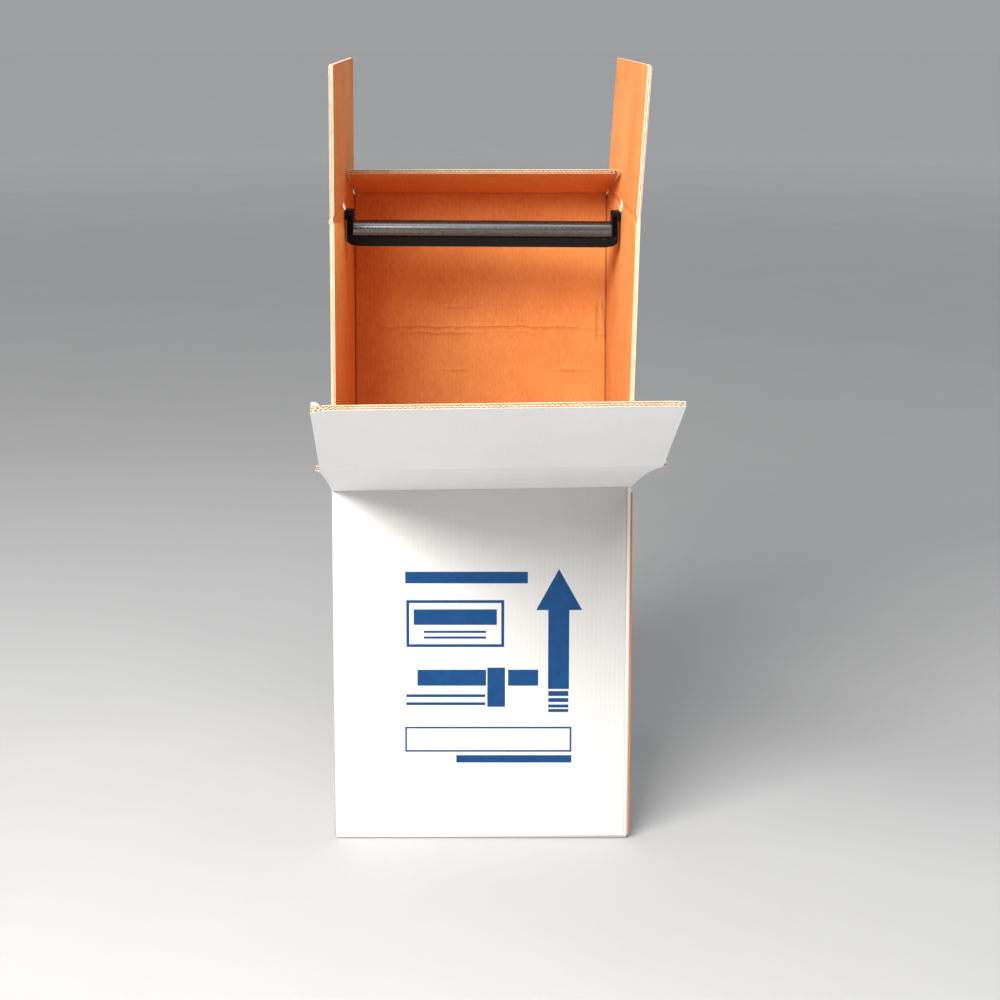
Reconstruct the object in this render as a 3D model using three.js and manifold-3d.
// Tall wardrobe carton of folded double-wall board with a drop front and a hanging bar.
// Millimetres, +Z up, front towards -Y, origin at the middle of the underside.
import * as THREE from 'three';
import Module from 'manifold-3d';

const wasm = await Module();
wasm.setup();
const { Manifold, Mesh } = wasm;

// Carton
const boxWidth = 500;
const boxDepth = 500;
const board = 7;
const topCrease = 1062;
const foldRadius = 5;
const creaseGap = 0.3;
const layerGap = 0.3;
const seamGap = 1.2;
const seamShift = 6;

// Window and its sill, which runs slightly uphill to the right
const sillHeight = 610;
const sillSlope = 0.0148;
const wallSetback = 0.4;

// Top flaps
const flapLength = 249.4;
const sideFlapLength = 254;
const bottomSlot = 3;
const slotHalf = 8;
const hemSlotHalf = 6;
const splayRight = 12;
const leanRight = 3.8;
const leanBack = -75.9;
const backRack = 0.017;

// Drop front, bowed a little and racked towards the right
const dropAngle = 71;
const dropBow = 6.5;
const dropRack = 0.019;
const hemFold = -13.6;
const hemCorner = 8;

// Glued lap inside the right front corner
const lapLength = 38;

// Hanging bar
const barDrop = 29.8;
const barTilt = 0.35;
const barWidth = 30;
const barGripHeight = 28;
const barCombWidth = 23;
const barCombHeight = 18;
const barWall = 2.6;
const barGroove = 1.6;
const ribPitch = 25;
const ribNotch = 2.2;
const ribNotchDepth = 1.1;
const combRun = 24;
const combRise = 12;
const headLength = 15.6;
const headDepth = 34;
const headRise = 18;
const headTaper = 11;
const neckInset = 4;
const pocketRim = 3;
const pocketDepth = 12;
const tongueWidth = 30;
const tongueHeight = 14;
const fitGap = 0.4;
const notchWidth = 33;

const halfW = boxWidth / 2;
const halfD = boxDepth / 2;
const innerX = halfW - board;
const innerY = halfD - board;
const barTop = topCrease - barDrop;
const notchFoot = barTop + 1;
const rad = THREE.MathUtils.degToRad;

function vec(x, y, z) {
  return new THREE.Vector3(x, y, z);
}

// Closed body between rings of the same number of points, listed from one end to the other.
function loft(rings, flat) {
  const count = rings[0].length;
  const pos = [];
  for (const ring of rings) {
    for (const p of ring) pos.push(p.x, p.y, p.z);
  }
  const index = [];
  for (let k = 0; k + 1 < rings.length; k += 1) {
    for (let i = 0; i < count; i += 1) {
      const a = k * count + i;
      const b = k * count + (i + 1) % count;
      index.push(a, b, b + count, a, b + count, a + count);
    }
  }
  const caps = THREE.ShapeUtils.triangulateShape(flat, []);
  const last = (rings.length - 1) * count;
  for (const [a, b, c] of caps) {
    index.push(c, b, a);
    index.push(last + a, last + b, last + c);
  }
  return solid(pos, index);
}

// Manifold body from plain arrays, turned outward if it came out inside out.
function solid(pos, index) {
  let tris = Uint32Array.from(index);
  const mesh = () => new Mesh({ numProp: 3, vertProperties: Float32Array.from(pos), triVerts: tris });
  let made = Manifold.ofMesh(mesh());
  if (made.volume() < 0) {
    for (let i = 0; i < tris.length; i += 3) {
      const keep = tris[i];
      tris[i] = tris[i + 1];
      tris[i + 1] = keep;
    }
    made = Manifold.ofMesh(mesh());
  }
  return made;
}

// Counterclockwise outline in the XY plane, with steps along straight sides where asked.
function roundedOutline(x0, x1, y0, y1, radii, steps) {
  const corners = [[x0, y0, Math.PI], [x1, y0, 1.5 * Math.PI], [x1, y1, 0], [x0, y1, 0.5 * Math.PI]];
  const points = [];
  corners.forEach(([cx, cy, from], n) => {
    const r = radii[n];
    const ox = cx + (cx === x0 ? r : -r);
    const oy = cy + (cy === y0 ? r : -r);
    if (r < 0.01) {
      points.push(new THREE.Vector2(cx, cy));
      return;
    }
    for (let i = 0; i <= steps; i += 1) {
      const a = from + (i / steps) * Math.PI / 2;
      points.push(new THREE.Vector2(ox + r * Math.cos(a), oy + r * Math.sin(a)));
    }
  });
  return points;
}

// Extra points down the right side, where the wall swings out
function stepped(outline) {
  const points = [];
  outline.forEach((p, i) => {
    const next = outline[(i + 1) % outline.length];
    points.push(p);
    if (p.x < innerX - 1 || Math.abs(next.x - p.x) > 0.01 || next.y - p.y < boxDepth / 2) return;
    for (const y of [-0.25, 0, 0.25]) points.push(new THREE.Vector2(p.x, y * boxDepth));
  });
  return points;
}

function prism(outline, z0, z1, shift) {
  const move = shift || ((p) => p);
  const levels = Array.isArray(z0) ? z0 : [z0, z1];
  const rings = levels.map((z) => outline.map((p) => move(vec(p.x, p.y, z))));
  return loft(rings, outline);
}

function block(x0, x1, y0, y1, z0, z1) {
  const outline = [[x0, y0], [x1, y0], [x1, y1], [x0, y1]].map(([x, y]) => new THREE.Vector2(x, y));
  return prism(outline, z0, z1);
}

// Right wall swings out above the sill, more towards the front and the top.
function splay(p) {
  if (p.x < 0 || p.z <= sillHeight) return p;
  const rise = (p.z - sillHeight) / (topCrease - sillHeight);
  const reach = (halfD - p.y) / boxDepth;
  return vec(p.x + splayRight * rise * reach, p.y, p.z);
}

function turned(body, axis, angle, at) {
  const m = new THREE.Matrix4().makeTranslation(at.x, at.y, at.z);
  m.multiply(new THREE.Matrix4().makeRotationAxis(axis, angle));
  m.multiply(new THREE.Matrix4().makeTranslation(-at.x, -at.y, -at.z));
  return body.transform(m.elements);
}

function placed(body, origin, along, up, inward) {
  const m = new THREE.Matrix4().makeBasis(along, up, inward);
  m.setPosition(origin);
  return body.transform(m.elements);
}

// Flat flap in its own axes: X along the crease, Y up the flap, Z towards the inside face.
function flapPlate(width, length, corners) {
  const foot = creaseGap / 2;
  const half = width / 2;
  const face = (base) => {
    const top = roundedOutline(-half, half, 0, length, [0, 0, corners[1], corners[0]], 4);
    return top.map((p) => new THREE.Vector2(p.x, p.y < 0.01 ? base : p.y));
  };
  const outer = face(foot).map((p) => vec(p.x, p.y, 0));
  const inner = face(foot + board).map((p) => vec(p.x, p.y, board));
  return loft([outer, inner], face(foot));
}

// Walls and bottom of the carton
function makeCarton() {
  const rises = [0, 1, 2, 3, 4, 5].map((k) => sillHeight + (k / 5) * (topCrease - sillHeight));
  const outline = roundedOutline(-halfW, halfW, -halfD, halfD, [foldRadius, 0, foldRadius, foldRadius], 4);
  const hollow = roundedOutline(-innerX, innerX, -innerY, innerY, [0, 0, 0, 0], 1);
  let walls = prism(stepped(outline), [board + layerGap, ...rises], 0, splay);
  walls = walls.subtract(prism(stepped(hollow), [-1, ...rises, topCrease + 1], 0, splay));

  // Window in the front above the sloping sill
  const cut = halfW + 40;
  const low = sillHeight - creaseGap / 2 - sillSlope * cut;
  const high = sillHeight - creaseGap / 2 + sillSlope * cut;
  const side = [[-cut, low], [cut, high], [cut, topCrease + 5], [-cut, topCrease + 5]];
  const flat = side.map(([x, z]) => new THREE.Vector2(x, z));
  const windowRings = [-halfD - 5, -innerY + wallSetback].map((y) => side.map(([x, z]) => vec(x, y, z)));
  walls = walls.subtract(loft(windowRings, flat));

  // Tops of the standing walls slope inwards so that the flaps can fold over them
  const top = topCrease - creaseGap / 2;
  const wedge = (out) => {
    const shape = [[0, top], [out, top], [out, top + 9], [-9, top + 9], [-9, top - 9]];
    return shape.map(([a, b]) => new THREE.Vector2(a, b));
  };
  const right = wedge(9);
  const frontX = halfW + splayRight;
  walls = walls.subtract(loft([
    right.map((p) => vec(frontX + p.x + splayRight * 0.02, -halfD - 10, p.y)),
    right.map((p) => vec(halfW + p.x - splayRight * 0.02, halfD + 10, p.y)),
  ], right));
  walls = walls.subtract(loft([
    right.map((p) => vec(-halfW - p.x, -halfD - 10, p.y)),
    right.map((p) => vec(-halfW - p.x, halfD + 10, p.y)),
  ], right));
  walls = walls.subtract(loft([
    right.map((p) => vec(-halfW - 30, halfD + p.x, p.y)),
    right.map((p) => vec(halfW + 30, halfD + p.x, p.y)),
  ], right));

  // Short slits beside the creases part the standing walls at the back corners
  for (const x of [-1, 1]) {
    const shift = x > 0 ? 0.3 : 0;
    const mid = x * (innerX + board / 2) + shift;
    walls = walls.subtract(block(mid - 7, mid + 7, innerY - 0.1, halfD + 1, top - board, topCrease + 5));
  }

  // Notches that take the ends of the bar
  for (const x of [-1, 1]) {
    const mid = x * halfW;
    const foot = notchFoot - mid * Math.tan(rad(barTilt));
    walls = walls.subtract(block(mid - 20, mid + 20, -notchWidth / 2, notchWidth / 2, foot, topCrease + 5));
  }

  // Raw end of the right wall beside the folded front, and the lap glued behind it
  const groove = new THREE.Vector2(innerX - 0.2, -halfD);
  const seam = [[-0.8, -1], [0.6, -1], [0.2, 1.4], [-0.2, 1.4]].map(([x, y]) => new THREE.Vector2(groove.x + x, groove.y + y));
  walls = walls.subtract(prism(seam, -1, sillHeight + 20));
  const lapTop = sillHeight - creaseGap / 2 + sillSlope * (innerX - board);
  let body = walls.add(block(innerX - board, innerX + 0.5, -innerY - 0.5, -innerY + lapLength, 2 * board + 4, lapTop));

  // Bottom: inner flaps from the side walls, outer flaps from the front and back
  const innerLow = board + layerGap;
  const innerHigh = innerLow + board;
  const reachY = innerY - layerGap;
  const halfSeam = seamGap / 2;
  for (const x of [-1, 1]) {
    const a = x * halfSeam;
    const b = x * (innerX + 1);
    body = body.add(block(Math.min(a, b), Math.max(a, b), -reachY, reachY, innerLow, innerHigh));
  }
  const reachX = halfW - bottomSlot;
  for (const y of [-1, 1]) {
    const a = seamShift + y * halfSeam;
    const b = y * (halfD - foldRadius);
    body = body.add(block(-reachX, reachX, Math.min(a, b), Math.max(a, b), 0, board));
    body = body.add(foldStrip(reachX, y));
  }
  return body;
}

// Rounded fold between an outer bottom flap and its wall
function foldStrip(reach, side) {
  const steps = 4;
  const shape = [new THREE.Vector2(halfD - foldRadius - 1, 0)];
  for (let i = 0; i <= steps; i += 1) {
    const a = -Math.PI / 2 + (i / steps) * Math.PI / 2;
    shape.push(new THREE.Vector2(halfD - foldRadius + foldRadius * Math.cos(a), foldRadius + foldRadius * Math.sin(a)));
  }
  const high = board + layerGap + 2;
  shape.push(new THREE.Vector2(halfD, high), new THREE.Vector2(innerY, high));
  shape.push(new THREE.Vector2(innerY, board), new THREE.Vector2(halfD - foldRadius - 1, board));
  const clean = shape.filter((p, i) => i === 0 || p.distanceTo(shape[i - 1]) > 0.01);
  return loft([-reach, reach].map((x) => clean.map((p) => vec(x, side * p.x, p.y))), clean);
}

// Drop front in its shut place: bowed inwards, racked to the right, foot along the sloping sill.
function makeDropPanel() {
  const across = [-1, -0.5, 0, 0.5, 1];
  const upward = 8;
  const rings = [];
  for (let k = 0; k <= upward; k += 1) {
    const t = k / upward;
    const ring = [];
    const row = (inside) => across.map((side) => {
      const u = side * halfW;
      const foot = sillHeight + creaseGap / 2 + sillSlope * u;
      const head = topCrease - creaseGap / 2 - (inside ? board : 0);
      const z = foot + (head - foot) * t;
      const bow = 4 * dropBow * t * (1 - t);
      return vec(u + dropRack * (z - sillHeight), -halfD + bow + (inside ? board : 0), z);
    });
    ring.push(...row(false), ...row(true).reverse());
    rings.push(ring);
  }
  const flat = rings[0].map((p) => new THREE.Vector2(p.x, p.y));
  return loft(rings, flat);
}

// Hem flap at the head of the drop front, in the same shut place, standing up.
function makeHemFlap() {
  const plate = flapPlate(boxWidth - 2 * hemSlotHalf, flapLength, [2, hemCorner]);
  const at = vec(dropRack * (topCrease - sillHeight), -halfD, topCrease);
  const up = vec(dropRack, 0, 1);
  return placed(plate, at, vec(-1, 0, 0), up, vec(0, 1, 0));
}

const dropAxis = vec(Math.cos(Math.atan(sillSlope)), 0, Math.sin(Math.atan(sillSlope)));
const dropPoint = vec(0, -halfD, sillHeight);
const hemPoint = vec(dropRack * (topCrease - sillHeight), -halfD, topCrease);

function opened(body) {
  return turned(body, dropAxis, rad(dropAngle), dropPoint);
}

// Moulded bar with a round grip, a notched comb below it and a hollow head hooked into each wall
function makeBar() {
  const grip = barTop - barGripHeight;
  const combFoot = grip - barCombHeight;
  const leftWall = -innerX + fitGap;
  const headRaise = (barTop - sillHeight) / (topCrease - sillHeight);
  const headReach = (halfD - headDepth / 2) / boxDepth;
  const rightWall = innerX + splayRight * headRaise * headReach - 2 * fitGap;
  const x0 = leftWall + neckInset;
  const x1 = rightWall - neckInset;
  const section = (pts) => pts.map(([a, b]) => new THREE.Vector2(a, b));
  const along = (pts, a, b) => loft([a, b].map((x) => pts.map((p) => vec(x, p.x, p.y))), pts);
  const across = (pts, a, b) => loft([a, b].map((y) => pts.map((p) => vec(p.x, y, p.y))), pts);

  // Grip
  const round = barWidth / 2;
  const gripShape = [[-round + 2, grip], [round - 2, grip], [round, grip + 2]];
  for (let i = 0; i <= 16; i += 1) {
    const a = (i / 16) * Math.PI;
    gripShape.push([round * Math.cos(a), barTop - round + round * Math.sin(a)]);
  }
  gripShape.push([-round, grip + 2]);
  let bar = along(section(gripShape), x0, x1);

  // Comb, its lower corners rounded off towards the walls
  const comb = barCombWidth / 2;
  const neck = comb - barGroove;
  const corner = (cx, from) => [0, 1, 2, 3, 4, 5, 6].map((i) => {
    const a = (from + i / 12) * Math.PI;
    return [cx + combRun * Math.cos(a), combFoot + combRise + combRise * Math.sin(a)];
  });
  const low = [...corner(x0 + combRun, 1), ...corner(x1 - combRun, 1.5)];
  const sideShape = (top) => section([[x0, top], ...low, [x1, top]]);
  bar = bar.add(block(x0, x1, -neck, neck, grip - barGroove - 1, grip + 1));
  bar = bar.add(across(sideShape(grip - barGroove), -comb, comb));

  // Pockets from below leave cross webs between the two combs
  const pitch = 2 * ribPitch;
  const pockets = Math.floor((x1 - x0 - 2 * combRun) / pitch);
  const start = (x0 + x1) / 2 - (pockets * pitch) / 2;
  const inner = comb - barWall;
  for (let i = 0; i < pockets; i += 1) {
    const a = start + i * pitch + barWall / 2;
    bar = bar.subtract(block(a, a + pitch - barWall, -inner, inner, combFoot - 1, barTop - barWall - 4));
  }

  // Notches down the comb faces
  const count = Math.floor((x1 - x0 - 2 * combRun) / ribPitch);
  const first = (x0 + x1) / 2 - (count * ribPitch) / 2;
  for (let i = 0; i <= count; i += 1) {
    const x = first + i * ribPitch;
    for (const y of [-1, 1]) {
      const a = y * (comb - ribNotchDepth);
      const b = y * (comb + 1);
      const box = block(x - ribNotch / 2, x + ribNotch / 2, Math.min(a, b), Math.max(a, b), combFoot - 1, grip - barGroove);
      bar = bar.subtract(box);
    }
  }

  // Necks that close the ends, with the same rounded foot
  const hd = headDepth / 2;
  const reach = headLength - neckInset;
  const middle = block(x0 + reach, x1 - reach, -hd - 1, hd + 1, combFoot - 1, barTop + 1);
  bar = bar.add(across(sideShape(barTop), -hd, hd).subtract(middle));

  // Heads that taper in to the necks, pocketed from the front and the back, with a tongue in each wall notch
  for (const [wall, way] of [[leftWall, 1], [rightWall, -1]]) {
    const at = (x, z) => [wall + way * x, barTop + z];
    const shape = [at(0, headRise), at(0, headTaper), at(neckInset, 0), at(neckInset, -2), at(headLength, -2),
      at(headLength, headRise - 2), at(headLength - 2, headRise)];
    bar = bar.add(across(section(way > 0 ? shape : shape.reverse()), -hd, hd));
    const hollow = [at(neckInset + 2, -barGripHeight + 2), at(headLength - pocketRim, -barGripHeight + 2)];
    for (let i = 0; i <= 4; i += 1) {
      const a = (i / 4) * Math.PI / 2;
      const r = 5;
      hollow.push(at(headLength - pocketRim - r + r * Math.cos(a), headRise - 7 - r + r * Math.sin(a)));
    }
    hollow.push(at(neckInset + 2, headRise - 7));
    const pocket = section(way > 0 ? hollow : hollow.reverse());
    bar = bar.subtract(across(pocket, -hd - 1, -hd + pocketDepth)).subtract(across(pocket, hd - pocketDepth, hd + 1));
    const tongueFoot = notchFoot + creaseGap;
    const a = wall - way * (board - 0.6);
    const b = wall + way * neckInset;
    const tongue = tongueWidth / 2;
    bar = bar.add(block(Math.min(a, b), Math.max(a, b), -tongue, tongue, tongueFoot, tongueFoot + tongueHeight));
  }
  return turned(bar, vec(0, 1, 0), rad(barTilt), vec(0, 0, barTop));
}

function geometryOf(body) {
  const mesh = body.getMesh();
  const count = mesh.vertProperties.length / mesh.numProp;
  const pos = new Float32Array(count * 3);
  for (let i = 0; i < count; i += 1) {
    for (let k = 0; k < 3; k += 1) pos[3 * i + k] = mesh.vertProperties[i * mesh.numProp + k];
  }
  const geometry = new THREE.BufferGeometry();
  geometry.setAttribute('position', new THREE.BufferAttribute(pos, 3));
  geometry.setIndex(new THREE.BufferAttribute(Uint32Array.from(mesh.triVerts), 1));
  geometry.computeVertexNormals();
  return geometry;
}

const group = new THREE.Group();
function addPart(name, body, colour, roughness) {
  const material = new THREE.MeshStandardMaterial({ color: colour, roughness, metalness: 0 });
  material.name = name;
  const mesh = new THREE.Mesh(geometryOf(body), material);
  mesh.name = name;
  group.add(mesh);
}

const whiteLiner = 0xe6e4e2;
const kraft = 0xc98a5a;
const blackPlastic = 0x1b1b1e;
const flapWidth = boxDepth - 2 * slotHalf;

addPart('carton', makeCarton(), whiteLiner, 0.85);
addPart('drop_front', opened(makeDropPanel()), whiteLiner, 0.85);
const hem = turned(makeHemFlap(), vec(1, 0, 0), rad(hemFold), hemPoint);
addPart('hem_flap', opened(hem), whiteLiner, 0.85);

const leftPlate = flapPlate(flapWidth, sideFlapLength, [3, 3]);
const leftFlap = placed(leftPlate, vec(-halfW, 0, topCrease), vec(0, 1, 0), vec(0, 0, 1), vec(1, 0, 0));
addPart('left_flap', leftFlap, kraft, 0.85);

const rightAlong = vec(-splayRight, boxDepth, 0).normalize();
const rightInward = vec(-rightAlong.y, rightAlong.x, 0);
const rightPoint = vec(halfW + splayRight / 2, 0, topCrease);
const rightPlate = flapPlate(flapWidth, sideFlapLength, [3, 3]);
const rightBack = rightAlong.clone().negate();
const rightFlap = placed(rightPlate, rightPoint, rightBack, vec(0, 0, 1), rightInward);
addPart('right_flap', turned(rightFlap, rightAlong, rad(leanRight), rightPoint), kraft, 0.85);

const backPoint = vec(0, halfD, topCrease);
const backPlate = flapPlate(boxWidth - 2 * slotHalf, flapLength, [3, 10]);
const backFlap = placed(backPlate, backPoint, vec(1, 0, 0), vec(backRack, 0, 1), vec(0, -1, 0));
addPart('back_flap', turned(backFlap, vec(-1, 0, 0), rad(leanBack), backPoint), kraft, 0.85);

addPart('hanging_bar', makeBar(), blackPlastic, 0.35);

export default group;
